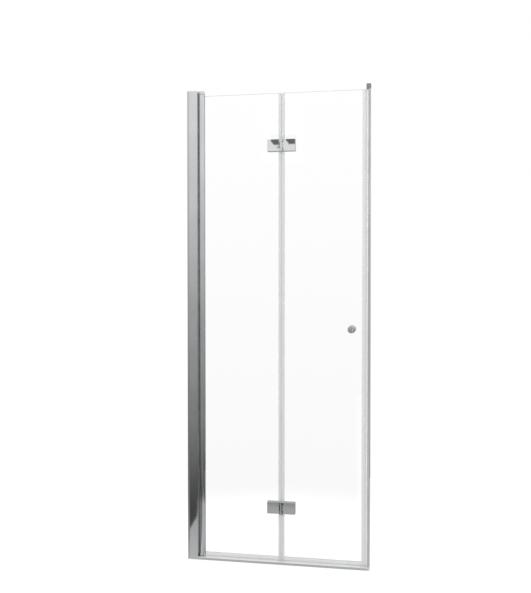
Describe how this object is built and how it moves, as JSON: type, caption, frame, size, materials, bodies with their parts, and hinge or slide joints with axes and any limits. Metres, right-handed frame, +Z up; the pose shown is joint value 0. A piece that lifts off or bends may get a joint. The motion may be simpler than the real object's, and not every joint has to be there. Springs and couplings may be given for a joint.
{
  "type": "bifold shower door",
  "caption": "Bifold shower door for a recess: two clear glass leaves that fold inwards on a pivot post, with chrome wall profiles, barrel hinges, drip seals, a knob and a low threshold.",
  "frame": {"origin": "on the floor, in the middle of the doorway's width and of the frame's depth, which is also the middle of the glass", "axes": "+X across the doorway from the hinge wall to the latch wall as seen from outside, +Y into the shower, +Z up"},
  "size_m": [0.775, 0.056, 2],
  "materials": {
    "chrome_profile": "polished, mirror-bright",
    "satin_channel": "satin anodised",
    "chrome_fitting": "polished",
    "stainless": "turned, bright",
    "clear_glass": "clear, polished",
    "clear_seal": "soft, slightly frosted",
    "milky_pvc": "rigid, milky, smooth",
    "satin_threshold": "bright satin",
    "rubber": "matte, dark grey",
    "clear_pad": "matte, grey",
    "magnet": "matte, dark brown",
    "nylon": "matte, white",
    "cap": "satin, grey"
  },
  "bodies": {
    "frame": {"wall_channel": "satin_channel", "adjusting_profile": "chrome_profile", "clamp_screws": "stainless", "clamp_caps": "cap", "pivot_seal": "rubber", "top_bracket": "chrome_fitting", "bottom_bracket": "chrome_fitting", "bracket_screws": "stainless", "top_pin": "stainless", "bottom_pin": "stainless", "threshold": "satin_threshold", "threshold_end": "satin_threshold", "strike_profile": "chrome_profile", "strike_seal": "clear_seal", "strike_magnet": "magnet", "strike_cap": "cap"},
    "left_leaf": {"pivot_post": "chrome_profile", "top_bush": "nylon", "bottom_bush": "nylon", "post_gasket": "rubber", "left_glass": "clear_glass", "left_drip_seal": "clear_seal", "left_fold_seal": "clear_seal", "upper_outer_plate_left": "chrome_fitting", "upper_inner_plate_left": "chrome_fitting", "lower_outer_plate_left": "chrome_fitting", "lower_inner_plate_left": "chrome_fitting", "hinge_pads_left": "clear_pad", "hinge_screws_left": "stainless", "upper_hinge_pin": "stainless", "lower_hinge_pin": "stainless"},
    "right_leaf": {"right_glass": "clear_glass", "right_drip_seal": "clear_seal", "right_fold_seal": "clear_seal", "upper_outer_plate_right": "chrome_fitting", "upper_inner_plate_right": "chrome_fitting", "lower_outer_plate_right": "chrome_fitting", "lower_inner_plate_right": "chrome_fitting", "hinge_pads_right": "clear_pad", "hinge_screws_right": "stainless", "edge_profile": "milky_pvc", "edge_liner": "rubber", "edge_seal": "milky_pvc", "edge_magnet": "magnet", "outer_knob": "chrome_fitting", "inner_knob": "chrome_fitting", "knob_stud": "stainless", "knob_washers": "clear_pad"}
  },
  "joints": [
    {"name": "pivot", "type": "hinge", "parent": "frame", "child": "left_leaf", "pos_m": [-0.328, 0, 0], "axis": [0, 0, 1], "range_deg": [0, 90]},
    {"name": "fold", "type": "hinge", "parent": "left_leaf", "child": "right_leaf", "pos_m": [0.0165, -0.0126, 0], "axis": [0, 0, -1], "range_deg": [0, 175]}
  ]
}
